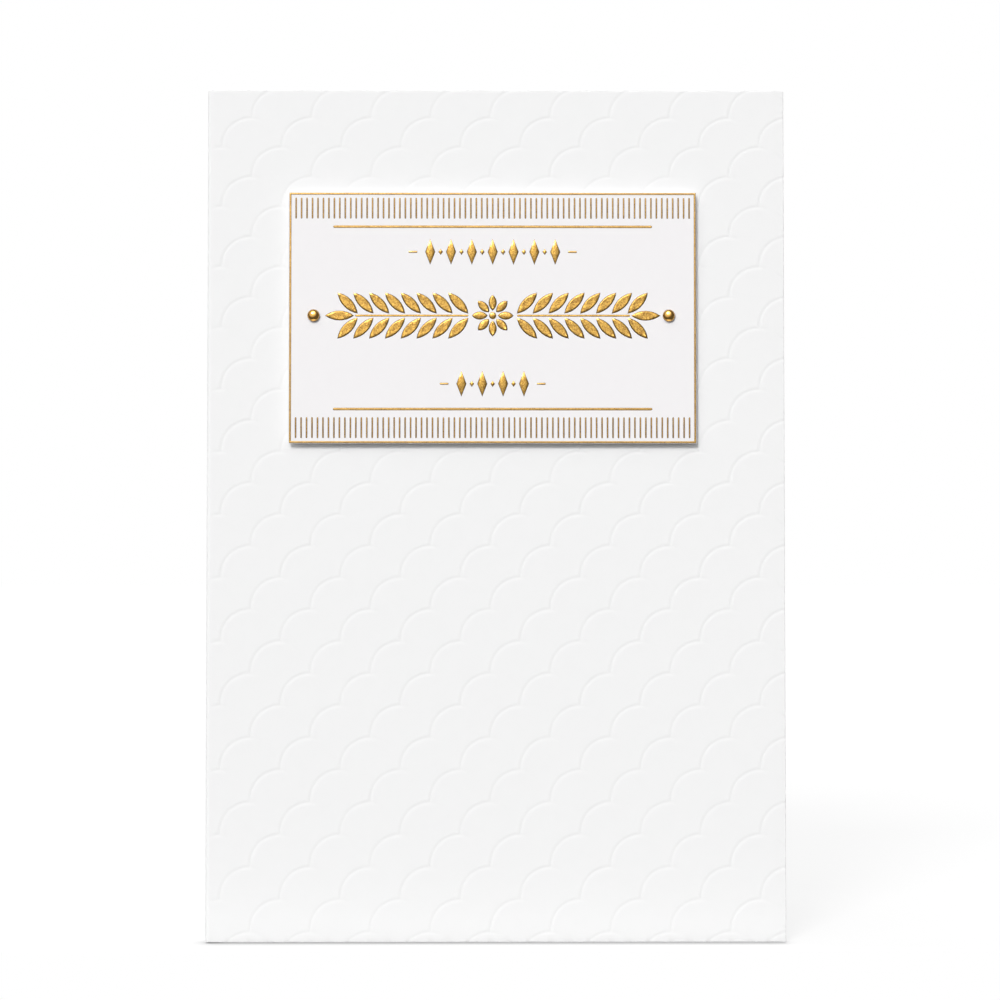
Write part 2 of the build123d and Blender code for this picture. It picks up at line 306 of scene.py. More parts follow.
def scallop_tree():
    """Tree that lays a tile of the scallops as bricks, joins them and closes the rows up with height."""
    tree, given = new_geometry_tree(
        "Scallop Field",
        {
            "Tile": "NodeSocketObject",
            "Columns": "NodeSocketInt",
            "Rows": "NodeSocketInt",
            "Pitch": "NodeSocketFloat",
            "Row Pitch": "NodeSocketFloat",
            "Row Closing": "NodeSocketFloat",
            "Corner": "NodeSocketVector",
            "Weld": "NodeSocketFloat",
            "Finish": "NodeSocketMaterial",
        },
    )
    give = given.outputs
    count = add_node(tree, "ShaderNodeMath", (give["Columns"], give["Rows"]), operation="MULTIPLY")
    spots = add_node(tree, "GeometryNodeMeshLine", {"Count": count})
    index = add_node(tree, "GeometryNodeInputIndex")
    column = add_node(tree, "ShaderNodeMath", (index, give["Columns"]), operation="MODULO")
    rows_laid = add_node(tree, "ShaderNodeMath", (index, give["Columns"]), operation="DIVIDE")
    row = add_node(tree, "ShaderNodeMath", (rows_laid,), operation="FLOOR")
    odd_row = add_node(tree, "ShaderNodeMath", (row, 2.0), operation="MODULO")
    shift = add_node(tree, "ShaderNodeMath", (odd_row, 0.5), operation="MULTIPLY")
    steps = add_node(tree, "ShaderNodeMath", (column, shift), operation="SUBTRACT")
    across = add_node(tree, "ShaderNodeMath", (steps, give["Pitch"]), operation="MULTIPLY")
    up = add_node(tree, "ShaderNodeMath", (row, give["Row Pitch"]), operation="MULTIPLY")
    spot = add_node(tree, "ShaderNodeCombineXYZ", {"X": across, "Z": up})
    laid = add_node(tree, "GeometryNodeSetPosition", {0: spots, "Position": spot})
    tile = add_node(tree, "GeometryNodeObjectInfo", {"Object": give["Tile"]}).outputs["Geometry"]
    tiles = add_node(tree, "GeometryNodeInstanceOnPoints", {"Points": laid, "Instance": tile})
    real = add_node(tree, "GeometryNodeRealizeInstances", (tiles,))
    whole = add_node(tree, "GeometryNodeMergeByDistance", {0: real, "Distance": give["Weld"]})
    # Each point moves down by the cube of its height in rows
    corner = add_node(tree, "ShaderNodeSeparateXYZ", (give["Corner"],)).outputs["Z"]
    lowest = add_node(tree, "ShaderNodeMath", (corner, give["Row Pitch"]), operation="DIVIDE")
    place = add_node(tree, "GeometryNodeInputPosition")
    height = add_node(tree, "ShaderNodeSeparateXYZ", (place,)).outputs["Z"]
    rows = add_node(tree, "ShaderNodeMath", (height, give["Row Pitch"]), operation="DIVIDE")
    rows_up = add_node(tree, "ShaderNodeMath", (rows, lowest), operation="ADD")
    above = add_node(tree, "ShaderNodeMath", (rows_up, 0.0), operation="MAXIMUM")
    cube = add_node(tree, "ShaderNodeMath", (above, 3.0), operation="POWER")
    sunk = add_node(tree, "ShaderNodeMath", (cube, give["Row Closing"]), operation="MULTIPLY")
    down = add_node(tree, "ShaderNodeMath", (sunk, -1.0), operation="MULTIPLY")
    closed = add_node(tree, "ShaderNodeCombineXYZ", {"Z": down})
    moved = add_node(tree, "ShaderNodeVectorMath", (closed, give["Corner"]), operation="ADD")
    placed = add_node(tree, "GeometryNodeSetPosition", {0: whole, "Offset": moved})
    painted = add_node(tree, "GeometryNodeSetMaterial", {0: placed, "Material": give["Finish"]})
    add_node(tree, "NodeGroupOutput", (painted,))
    return tree


# Materials


def new_material(name):
    """Material with an empty node tree. Returns both."""
    material = bpy.data.materials.new(name)
    material.use_nodes = True
    material.node_tree.nodes.clear()
    return material, material.node_tree


def add_surface(tree, inputs):
    """End a material's tree with a surface of these inputs."""
    shader = add_node(tree, "ShaderNodeBsdfPrincipled", inputs)
    add_node(tree, "ShaderNodeOutputMaterial", {"Surface": shader})


def board_material(name, white, roughness, cloud_size, fibre_size, fibre_depth):
    """Board with a formation cloud of faint mottles, 1.5% darker, and fibre that stands up a little."""
    material, tree = new_material(name)
    where = add_node(tree, "ShaderNodeTexCoord").outputs["Object"]
    cloud = add_node(tree, "ShaderNodeTexNoise", {"Vector": where, "Scale": 1 / cloud_size})
    shades = {"Factor": cloud, 6: [*[c * 0.985 for c in white], 1], 7: [*white, 1]}
    mottled = add_node(tree, "ShaderNodeMix", shades, data_type="RGBA").outputs[2]
    strands = {"Vector": where, "Scale": 1 / fibre_size, "Detail": 3.0, "Roughness": 0.6}
    fibre = add_node(tree, "ShaderNodeTexNoise", strands)
    raised = add_node(tree, "ShaderNodeBump", {"Height": fibre, "Distance": fibre_depth, "Strength": 1.0})
    add_surface(tree, {"Base Color": mottled, "Normal": raised, "Roughness": roughness, "IOR": 1.45})
    return material


def pressed_board_material(settings):
    """Uncoated heavy board: matt and dead white, with a sheet's cloud of about 3 mm."""
    # Fibre is 0.03 mm wide on the real board and is drawn at 0.35 mm to show
    return board_material("uncoated_pressed_board", settings.white, 0.8, 3 * MM, 0.35 * MM, 0.006 * MM)


def plaque_board_material(settings):
    """Calendered board, smoother and a little warmer than the sheet behind it."""
    return board_material("calendered_plaque_board", settings.white, 0.65, 2 * MM, 0.4 * MM, 0.005 * MM)


def foil_material(settings, name, gold, deep_gold):
    """Hot-stamped gold foil: satin metal that shows the board's fibre, with painted shade at its foot."""
    material, tree = new_material(name)
    where = add_node(tree, "ShaderNodeTexCoord").outputs["Object"]
    # The board's grain of 0.25 mm breaks the foil's shine into small lighter and darker flecks
    flecks = {"Vector": where, "Scale": 1 / (0.25 * MM), "Detail": 3.0, "Roughness": 0.6}
    grain = add_node(tree, "ShaderNodeTexNoise", flecks)
    sharper = add_node(tree, "ShaderNodeMapRange", (grain, 0.36, 0.64))
    shades = {"Factor": sharper, 6: [*deep_gold, 1], 7: [*gold, 1]}
    top = add_node(tree, "ShaderNodeMix", shades, data_type="RGBA").outputs[2]
    # Painted shade: the foil is painted dark brown in the crease round each form, within 0.06 mm of the
    # board, where shade falls
    depth = add_node(tree, "ShaderNodeSeparateXYZ", (where,)).outputs["Y"]
    crease = (depth, plaque_face - 0.01 * MM, plaque_face - 0.06 * MM)
    painted_crease_shade = add_node(tree, "ShaderNodeMapRange", crease, interpolation_type="SMOOTHSTEP")
    shades = {"Factor": painted_crease_shade, 6: [*settings.crease_shade_gold, 1], 7: top}
    whole = add_node(tree, "ShaderNodeMix", shades, data_type="RGBA").outputs[2]
    raised = add_node(tree, "ShaderNodeBump", {"Height": grain, "Distance": 0.014 * MM, "Strength": 1.0})
    # A thin clear lacquer over the metal pales its highlights
    metal = {"Metallic": 1.0, "Roughness": 0.35, "Coat Weight": 0.7, "Coat Roughness": 0.2}
    add_surface(tree, {"Base Color": whole, "Normal": raised, **metal})
    return material


def stud_material(settings):
    """Gold-plated brass, polished, with the faint ripple of a pressed dome and a painted dark ring at its
    foot.
    """
    material, tree = new_material("polished_gold_plate")
    where = add_node(tree, "ShaderNodeTexCoord").outputs["Object"]
    # Painted dark reflection: the dome goes dark brown towards its foot, in place of the dark room that
    # its flanks mirror
    low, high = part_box("stud_left")
    height = high.y - low.y
    depth = add_node(tree, "ShaderNodeSeparateXYZ", (where,)).outputs["Y"]
    painted_ring_span = (depth, high.y - 0.1 * height, high.y - 0.8 * height)
    polished = add_node(tree, "ShaderNodeMapRange", painted_ring_span, interpolation_type="SMOOTHSTEP")
    shades = {"Factor": polished, 6: [*settings.foot, 1], 7: [*settings.gold, 1]}
    plating = add_node(tree, "ShaderNodeMix", shades, data_type="RGBA").outputs[2]
    ripple = add_node(tree, "ShaderNodeTexNoise", {"Vector": where, "Scale": 1 / (0.8 * MM)})
    raised = add_node(tree, "ShaderNodeBump", {"Height": ripple, "Distance": 0.004 * MM, "Strength": 1.0})
    metal = {"Metallic": 1.0, "Roughness": 0.15, "Coat Weight": 1.0}
    add_surface(tree, {"Base Color": plating, "Normal": raised, **metal})
    return material


def foam_material(settings):
    """Closed-cell polyethylene foam tape: off white, with cut cells of about 0.25 mm."""
    material, tree = new_material("closed_cell_foam")
    where = add_node(tree, "ShaderNodeTexCoord").outputs["Object"]
    cells = add_node(tree, "ShaderNodeTexVoronoi", {"Vector": where, "Scale": 1 / (0.25 * MM)})
    raised = add_node(tree, "ShaderNodeBump", {"Height": cells, "Distance": 0.04 * MM, "Strength": 1.0})
    add_surface(tree, {"Base Color": [*settings.foam, 1], "Normal": raised, "Roughness": 0.85})
    return material


# Mesh building


def new_piece(name, mesh_data, material=None):
    """Object for a bmesh, which is freed."""
    mesh = bpy.data.meshes.new(name)
    mesh_data.to_mesh(mesh)
    mesh_data.free()
    if material:
        mesh.materials.append(material)
    piece = bpy.data.objects.new(name, mesh)
    bpy.context.scene.collection.objects.link(piece)
    return piece


def loft(mesh_data, rings, around=False, top=True):
    """Skin successive rings of points. Ends are capped, the last if top, or joined if around."""
    loops = [[mesh_data.verts.new(point) for point in ring] for ring in rings]
    pairs = list(zip(loops, loops[1:]))
    if around:
        pairs.append((loops[-1], loops[0]))
    for low, high in pairs:
        for i in range(len(low)):
            j = (i + 1) % len(low)
            if len(high) == 1:
                mesh_data.faces.new((low[i], low[j], high[0]))
            else:
                mesh_data.faces.new((low[i], low[j], high[j], high[i]))
    if not around:
        mesh_data.faces.new(loops[0])
        if top and len(loops[-1]) > 1:
            mesh_data.faces.new(loops[-1])
    return loops


def close_normals(mesh_data):
    """Turn every face of a closed form outwards."""
    bmesh.ops.recalc_face_normals(mesh_data, faces=mesh_data.faces)


def lofted(name, rings, material=None, around=False):
    """Closed piece skinned over successive rings of points."""
    mesh_data = bmesh.new()
    loft(mesh_data, rings, around)
    close_normals(mesh_data)
    return new_piece(name, mesh_data, material)


def shade_smooth(piece, sharp):
    """Smooth shading that leaves large flats flat, and stays sharp where faces turn by more degrees."""
    piece.data.shade_smooth()
    piece.data.set_sharp_from_angle(angle=radians(sharp))
    weighted = piece.modifiers.new("Weighted", "WEIGHTED_NORMAL")
    weighted.mode = "FACE_AREA"
    weighted.weight = 50
    weighted.keep_sharp = True
    settle(piece)


def seat(piece, slot, *nodes, sharp):
    """Shade a finished piece and set it in the frame in place of the solids it stands for."""
    shade_smooth(piece, sharp)
    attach(piece, BODY)
    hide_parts(*nodes)


def joined(name, parts, material):
    """One object of one material from several objects, which are removed."""
    mesh_data = bmesh.new()
    for part in parts:
        mesh_data.from_mesh(part.data)
        bpy.data.objects.remove(part)
    for face in mesh_data.faces:
        face.material_index = 0
    return new_piece(name, mesh_data, material)


def rounded_rectangle(width, height, radius, runs=3):
    """Outline of a rectangle about the origin with round corners, anticlockwise."""
    points = []
    for quarter in range(4):
        side_x = (1, -1, -1, 1)[quarter]
        side_y = (1, 1, -1, -1)[quarter]
        for step in range(runs + 1):
            angle = (quarter + step / runs) * pi / 2
            x = side_x * (width / 2 - radius) + radius * cos(angle)
            y = side_y * (height / 2 - radius) + radius * sin(angle)
            points.append((x, y))
    return points


def facing_reader(points, middle, y):
    """Flat points set upright at a depth, about a middle point of the front."""
    return [(middle.x + x, y, middle.z + up) for x, up in points]


# Folded sheet


# Section across a pressed line, from inside its scallop outwards: distance in shares of the groove's
# width, and height in shares of its depth. The die leaves a low lip inside and a higher one outside.
SECTION = ((-1.1, 0.0), (-0.65, 0.35), (-0.3, -0.4), (0.0, -1.0), (0.3, -0.2), (0.6, 0.6), (1.1, 0.0))


def section_height(sheet, distance):
    """Height of the pressed line's section at a distance out of its middle, in shares of its depth."""
    reach = distance / sheet.groove_width
    for (near, low), (far, high) in zip(SECTION, SECTION[1:]):
        if near <= reach <= far:
            return low + (high - low) * (reach - near) / (far - near)
    return 0.0


def soft_step(value, low, high):
    """0 under a low value, 1 over a high one, and smooth between."""
    part = min(1, max(0, (value - low) / (high - low)))
    return part * part * (3 - 2 * part)


def line_height(sheet, x, y):
    """Height of one scallop's pressed line, with its centre at the origin."""
    past_crest = atan2(x, max(y, 0))
    out = -x - sheet.radius if y < 0 else hypot(x, y) - sheet.radius
    strength = 1 - soft_step(past_crest, sheet.fade_start, sheet.fade_end)
    # Its foot runs out into the groove of the crest under it
    from_crest = hypot(x + sheet.pitch / 2, y + sheet.row_pitch) - sheet.radius
    run_out = 0.6 * sheet.groove_width
    strength *= soft_step(from_crest, 0.0, run_out)
    return strength * section_height(sheet, out)


def pressed_height(sheet, x, y):
    """Height of the board where the lines of several scallops may meet. A groove cuts through a lip."""
    heights = []
    for row in (-1, 0, 1):
        for half_step in (-3, -2, -1, 0, 1, 2, 3):
            if (row + half_step) % 2 == 0:
                beside = x - half_step * sheet.pitch / 2
                heights.append(line_height(sheet, beside, y - row * sheet.row_pitch))
    return min(heights) if min(heights) < 0 else max(heights)


def line_stations(sheet):
    """Angles past the crest at which a scallop's line gets points. The next row's foot stands there."""
    outermost = sheet.radius + SECTION[-1][0] * sheet.groove_width
    foot = sheet.pitch / 2 - sheet.radius
    under_foot = [asin((foot - share_out * sheet.groove_width) / outermost) for share_out, _ in SECTION]
    runs = 7
    first = radians(-83)
    last = min(under_foot) - radians(7)
    rising = [first + (last - first) * i / runs for i in range(runs + 1)]
    falling = [max(under_foot) + (sheet.fade_end - max(under_foot)) * i / 2 for i in (1, 2)]
    return rising + sorted(under_foot) + falling


def line_rings(sheet):
    """Runs of points along one scallop's line, one for each corner of its section."""
    outermost = sheet.radius + SECTION[-1][0] * sheet.groove_width
    rings = []
    for share_out, _ in SECTION:
        radius = sheet.radius + share_out * sheet.groove_width
        from_middle = sheet.pitch / 2 - radius
        foot = (-radius, sqrt(outermost**2 - from_middle**2) - sheet.row_pitch)
        rings.append([foot] + [(radius * sin(a), radius * cos(a)) for a in line_stations(sheet)])
    return rings


def scallop_tile(sheet):
    """Mesh of one brick of the field, with points along its pressed lines and along its own edges."""
    half = sheet.pitch / 2
    top = sheet.radius / 2
    bottom = top - sheet.row_pitch
    border = [(-half, bottom), (0, bottom), (half, bottom), (half, top), (0, top), (-half, top)]
    points = list(border)
    edges = [(i, (i + 1) % len(border)) for i in range(len(border))]
    rings = line_rings(sheet)
    for row in (-2, -1, 0, 1):
        for half_step in (-3, -2, -1, 0, 1, 2, 3):
            if (row + half_step) % 2:
                continue
            for ring in rings:
                first = len(points)
                points += [(x + half_step * half, y + row * sheet.row_pitch) for x, y in ring]
                edges += [(i, i + 1) for i in range(first, len(points) - 1)]
    # Worked out in millimetres, because the triangulation rounds small numbers
    scaled = [Vector(point) / MM for point in points]
    all_triangles = 0
    snap = 1e-5
    corners, _, triangles, *_ = delaunay_2d_cdt(scaled, edges, [], all_triangles, snap, False)
    mesh_data = bmesh.new()
    made = {}
    for triangle in triangles:
        middle = sum((corners[i] for i in triangle), Vector((0, 0))) * MM / 3
        if abs(middle.x) > half or not bottom < middle.y < top:
            continue
        for i in triangle:
            if i not in made:
                x, z = corners[i] * MM
                made[i] = mesh_data.verts.new((x, -sheet.groove_depth * pressed_height(sheet, x, z), z))
        mesh_data.faces.new([made[i] for i in triangle])
    return new_piece("scallop_tile", mesh_data)


def cut(mesh_data, point, normal, drop_outside=False):
    """Cut a mesh by a plane, and drop what lies outside it if asked."""
    everything = [*mesh_data.verts, *mesh_data.edges, *mesh_data.faces]
    bmesh.ops.bisect_plane(
        mesh_data,
        geom=everything,
        dist=SAME_PLACE,
        plane_co=point,
        plane_no=normal,
        clear_outer=drop_outside,
    )


def side_edges(mesh_data, place, normal):
    """Open edges that lie in a plane."""
    return [
        edge
        for edge in mesh_data.edges
        if edge.is_boundary and all(abs((v.co - place).dot(normal)) < 1e-6 for v in edge.verts)
    ]


def in_order(mesh_data):
    """The same mesh with its faces in a fixed order, which a spin leaves to chance."""
    mesh_data.verts.index_update()
    faces = []
    for face in mesh_data.faces:
        corners = [vertex.index for vertex in face.verts]
        start = corners.index(min(corners))
        faces.append(corners[start:] + corners[:start])
    ordered = bmesh.new()
    points = [ordered.verts.new(vertex.co) for vertex in mesh_data.verts]
    for corners in sorted(faces, key=sorted):
        ordered.faces.new([points[i] for i in corners])
    mesh_data.free()
    return ordered


def folded_sheet(sheet, material):
    """The whole card: scallops on the front, a round fold, and a plain back panel."""
    tile = scallop_tile(sheet)
    width = sheet_high.x - sheet_low.x
    height = sheet_high.z
    # Spare rows and columns are laid all round the panel and trimmed off
    rows_below = 2
    left = sheet_low.x + sheet.first_inset - sheet.pitch
    first = Vector((left, sheet_low.y, sheet.first_height - sheet.radius))
    first.z -= rows_below * sheet.row_pitch
    values = {
        "Tile": tile,
        "Columns": int(width / sheet.pitch) + 4,
        "Rows": int(height / sheet.row_pitch) + 6,
        "Pitch": sheet.pitch,
        "Row Pitch": sheet.row_pitch,
        "Row Closing": sheet.row_closing,
        "Corner": first,
        "Weld": 0.004 * MM,
        "Finish": material,
    }
    field = grow(scallop_tree(), values, "card_sheet")
    bpy.data.objects.remove(tile)
    outer = sheet.fold_radius + sheet.board
    fold_start = sheet_low.x + outer
    mesh_data = bmesh.new()
    mesh_data.from_mesh(field.data)
    for point, outwards in (
        ((fold_start, 0, 0), (-1, 0, 0)),
        ((sheet_high.x, 0, 0), (1, 0, 0)),
        ((0, 0, 0), (0, 0, -1)),
        ((0, 0, height), (0, 0, 1)),
    ):
        cut(mesh_data, point, outwards, drop_outside=True)
    for vertex in mesh_data.verts:
        near = min(1, (vertex.co.x - fold_start) / sheet.fold_margin)
        vertex.co.y = sheet_low.y + (vertex.co.y - sheet_low.y) * near * near * (3 - 2 * near)
    bend_centre = Vector((fold_start, sheet_low.y + outer, 0))
    edges = side_edges(mesh_data, Vector((fold_start, 0, 0)), Vector((1, 0, 0)))
    # A dict drops doubles as a set does, and keeps the order
    points = dict.fromkeys(v for e in edges for v in e.verts)
    spun = bmesh.ops.spin(
        mesh_data,
        geom=[*edges, *points],
        cent=bend_centre,
        axis=(0, 0, 1),
        angle=sheet.opening - pi,
        steps=14,
        use_merge=False,
    )
    last = [part for part in spun["geom_last"] if isinstance(part, bmesh.types.BMEdge)]
    grown = bmesh.ops.extrude_edge_only(mesh_data, edges=last)
    along = Vector((cos(sheet.opening), sin(sheet.opening), 0))
    ends = [part for part in grown["geom"] if isinstance(part, bmesh.types.BMVert)]
    bmesh.ops.translate(mesh_data, verts=ends, vec=along * (width - outer))
    bmesh.ops.remove_doubles(mesh_data, verts=mesh_data.verts, dist=SAME_PLACE)
    back_end = ends[0].co.copy()
    mesh_data = in_order(mesh_data)
    borders = (
        (Vector((0, 0, 0)), Vector((0, 0, -1))),
        (Vector((0, 0, height)), Vector((0, 0, 1))),
        (Vector((sheet_high.x, 0, 0)), Vector((1, 0, 0))),
        (back_end, along),
    )
    # Cuts beside each border, in shares of its rounding, give the rounding its points
    for place, outwards in borders:
        for share_in in (0.1, 0.4, 1):
            cut(mesh_data, place - outwards * sheet.edge_round * share_in, outwards)
    close_normals(mesh_data)
    right = [face for face in mesh_data.faces if face.calc_center_median().x > 0]
    if next(face for face in right if abs(face.normal.y) > 0.9).normal.y > 0:
        bmesh.ops.reverse_faces(mesh_data, faces=mesh_data.faces)
    bpy.data.objects.remove(field)
    piece = new_piece("card_sheet", mesh_data, material)
    solid = piece.modifiers.new("Board", "SOLIDIFY")
    solid.thickness = sheet.board
    solid.offset = -1
    solid.use_even_offset = True
    settle(piece)
    for vertex in piece.data.vertices:
        vertex.co.x = min(vertex.co.x, sheet_high.x)
        vertex.co.z = min(max(vertex.co.z, 0), height)
    round_edges(piece.data, borders, sheet.edge_round)
    return piece


def round_edges(mesh, borders, radius):
    """Round the cut edges of a sheet whose second half of points lies behind its first half."""
    half = len(mesh.vertices) // 2
    for i in range(half):
        front, back = mesh.vertices[i], mesh.vertices[i + half]
        depth = min((place - front.co).dot(outwards) for place, outwards in borders)
        if depth < radius:
            push = radius - sqrt(max(0, radius**2 - (radius - depth) ** 2))
            inwards = (back.co - front.co).normalized() * push
            front.co += inwards
            back.co -= inwards


# Foil forms


def lens_stations(form_length, width, runs=8):
    """Half widths along a pointed form with round sides, from its foot to its tip."""
    radius = (form_length**2 + width**2) / (4 * width)
    half_turn = asin(form_length / 2 / radius)
    angles = [half_turn * (2 * i / runs - 1) for i in range(runs + 1)]
    stations = [(form_length / 2 + radius * sin(a), width / 2 - radius * (1 - cos(a))) for a in angles]
    return [(0, 0), *stations[1:-1], (form_length, 0)]


def bar_stations(form_length, width, runs=2):
    """Half widths along a bar with round ends."""
    angles = [pi / 2 * i / runs for i in range(runs + 1)]
    end = [(width / 2 * (1 - cos(a)), width / 2 * sin(a)) for a in angles]
    return end + [(form_length - x, half) for x, half in reversed(end)]


def lozenge_stations(form_length, width):
    """Half widths of a lozenge along its length."""
    return [(0, 0), (form_length / 2, width / 2), (form_length, 0)]


def inset(outline, depth):
    """Closed outline moved inwards by a depth, with mitred corners. The outline runs clockwise."""
    moved = []
    for i, here in enumerate(outline):
        before = (here - outline[i - 1]).normalized()
        after = (outline[(i + 1) % len(outline)] - here).normalized()
        inwards = [Vector((side.y, -side.x)) for side in (before, after)]
        middle = (inwards[0] + inwards[1]).normalized()
        moved.append(here + middle * depth / max(0.2, middle.dot(inwards[0])))
    return moved


def pressed_form(name, stations, relief, shoulder, crown=0):
    """Closed foil form along X, at the plaque's face: round shoulders and a top with a middle line.

    The crown is how far the middle line stands above the top's edge, or below it if negative."""
    upper = [Vector(station) for station in stations]
    lower = [Vector((x, -half)) for x, half in reversed(stations[1:-1])]
    outline = upper + lower
    # Share of the shoulder's width, and height there
    profile = [(0, -SUNK), (0, 0), (0.35, 0.35 * relief), (0.7, 0.8 * relief), (1, relief)]
    mesh_data = bmesh.new()
    rings = []
    for inwards, painted_crease_shade in profile:
        ring = inset(outline, inwards * shoulder) if inwards else outline
        rings.append([(point.x, -painted_crease_shade, point.y) for point in ring])
    top = loft(mesh_data, rings, top=False)[-1]
    last = len(stations) - 1
    spine = [top[0]]
    for i in range(1, last):
        spine.append(mesh_data.verts.new((top[i].co.x, -relief - crown, 0)))
    spine.append(top[last])
    for i in range(last):
        for near, far in ((top[i], top[i + 1]), (top[-i] if i else top[0], top[-i - 1])):
            corners = []
            for corner in (near, far, spine[i + 1], spine[i]):
                if corner not in corners:
                    corners.append(corner)
            mesh_data.faces.new(corners)
    close_normals(mesh_data)
    for a, b in zip(spine, spine[1:]):
        edge = mesh_data.edges.get((a, b))
        if edge:
            edge.smooth = False
    return new_piece(name, mesh_data)


def row_of(form, count, start, step, material, angle=0.0, angle_step=0.0):
    """Copies of a form as one mesh, by the repeat tree."""
    tree = bpy.data.node_groups.get("Repeat Piece") or repeat_tree()
    values = {
        "Piece": form,
        "Count": count,
        "Start": start,
        "Step": step,
        "Turn": angle,
        "Turn Step": angle_step,
        "Finish": material,
    }
    return grow(tree, values, form.name + "_row")


def foil_piece(name, parts, material, *nodes):
    """Join rows of foil forms into the piece that stands for the named solids."""
    seat(joined(name, parts, material), "gold_foil", *nodes, sharp=60)


def drop(*objects):
    """Remove forms that were only patterns for their copies."""
    for item in objects:
        bpy.data.objects.remove(item)


def broad_foil():
    """Foil of the leaves, lozenges and petals, in the foil's own colours."""
    name = "hot_stamped_gold_foil"
    foil = bpy.context.scene.card_foil
    return bpy.data.materials.get(name) or foil_material(foil, name, foil.gold, foil.deep_gold)


def line_foil():
    """Foil of the thin lines, a darker copy of the same foil: painted shade that darkens the thin lines
    all over.
    """
    name = "hot_stamped_gold_line"
    foil = bpy.context.scene.card_foil
    return bpy.data.materials.get(name) or foil_material(foil, name, foil.shaded_line_gold, foil.shaded_deep_line)


# Operators


class CARD_OT_sheet(bpy.types.Operator):
    """Make the folded sheet with its pressed scallops"""

    bl_idname = "card.sheet"
    bl_label = "Folded Sheet"

    def execute(self, context):
        settings = context.scene.card_sheet
        piece = folded_sheet(settings, pressed_board_material(settings))
        seat(piece, "card_board", "folded_card", sharp=40)
        return {"FINISHED"}


class CARD_OT_plaque(bpy.types.Operator):
    """Make the raised plaque, with its front edges rounded over"""

    bl_idname = "card.plaque"
    bl_label = "Plaque"

    def execute(self, context):
        settings = context.scene.card_plaque
        size = plaque_high - plaque_low
        edge = settings.edge_round
        steps = 4
        levels = [(0, plaque_high.y)]
        for step in range(steps + 1):
            angle = pi / 2 * step / steps
            levels.append((edge * (1 - cos(angle)), plaque_face + edge * (1 - sin(angle))))
        levels.append((2 * edge, plaque_face))
        rings = []
        for inwards, y in levels:
            radius = max(settings.corner_round - inwards, 0.01 * MM)
            outline = rounded_rectangle(size.x - 2 * inwards, size.z - 2 * inwards, radius)
            rings.append(facing_reader(outline, plaque_middle, y))
        piece = lofted("plaque_board", rings, plaque_board_material(settings))
        seat(piece, "plaque_board", "plaque", sharp=40)
        return {"FINISHED"}


class CARD_OT_pads(bpy.types.Operator):
    """Make the foam pads that hold the plaque off the sheet"""

    bl_idname = "card.pads"
    bl_label = "Foam Pads"

    def execute(self, context):
        settings = context.scene.card_plaque
        material = foam_material(settings)
        names = sorted(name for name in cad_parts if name.startswith("foam_pad"))
        for name in names:
            low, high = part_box(name)
            middle = (low + high) / 2
            corner = 0.4 * MM
            levels = 6
            rings = []
            for level in range(levels + 1):
                share_up = level / levels
                # The glued faces pull in as the sides swell
                bulge = 2 * settings.pad_bulge * (sin(pi * share_up) - 0.3)
                outline = rounded_rectangle(high.x - low.x + bulge, high.z - low.z + bulge, corner, 4)
                rings.append(facing_reader(outline, middle, low.y + (high.y - low.y) * share_up))
            piece = lofted(name + "_foam", rings, material)
            seat(piece, "foam", name, sharp=50)
        return {"FINISHED"}


class CARD_OT_foil_lines(bpy.types.Operator):
    """Make the foil border, the two rules and the four dashes"""

    bl_idname = "card.foil_lines"
    bl_label = "Foil Lines"

    def execute(self, context):
        foil = context.scene.card_foil
        material = line_foil()
        self.border(foil, material)
        for node in ("foil_rule_upper", "foil_rule_lower"):
            low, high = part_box(node)
            stations = bar_stations(high.x - low.x, foil.rule_width)
            form = pressed_form("rule", stations, foil.line_relief, foil.line_shoulder)
            start = (low.x, plaque_face, (low.z + high.z) / 2)
            row = row_of(form, 1, start, (0, 0, 0), material)
            foil_piece(node.replace("foil", "gold"), [row], material, node)
            drop(form)
        stations = bar_stations(foil.dash_length, foil.dash_width)
        form = pressed_form("dash", stations, foil.line_relief, foil.line_shoulder)
        rows = []
        for node in ("foil_lozenges_upper", "foil_lozenges_lower"):
            low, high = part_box(node)
            start = (low.x - foil.dash_gap - foil.dash_length, plaque_face, (low.z + high.z) / 2)
            step = (high.x - low.x + 2 * foil.dash_gap + foil.dash_length, 0, 0)
            rows.append(row_of(form, 2, start, step, material))
        foil_piece("gold_dashes", rows, material, "foil_dashes")
        drop(form)
        return {"FINISHED"}

    def border(self, foil, material):
        """Line all round the plaque with sloping sides and mitred corners."""
        low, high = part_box("foil_border")
        width = high.x - low.x + 2 * foil.border_out
        height = high.z - low.z + 2 * foil.border_out
        corner = 0.05 * MM
        line = foil.border_width
        edge = foil.line_shoulder
        relief = foil.line_relief
        profile = [
            (0, -SUNK),
            (0, 0),
            (edge * 0.4, relief * 0.75),
            (edge, relief),
            (line - edge, relief),
            (line - edge * 0.4, relief * 0.75),
            (line, 0),
            (line, -SUNK),
        ]
        rings = []
        for inwards, painted_crease_shade in profile:
            outline = rounded_rectangle(width - 2 * inwards, height - 2 * inwards, corner, 2)
            rings.append(facing_reader(outline, plaque_middle, plaque_face - painted_crease_shade))
        piece = lofted("gold_border", rings, material, around=True)
        seat(piece, "gold_foil", "foil_border", sharp=60)


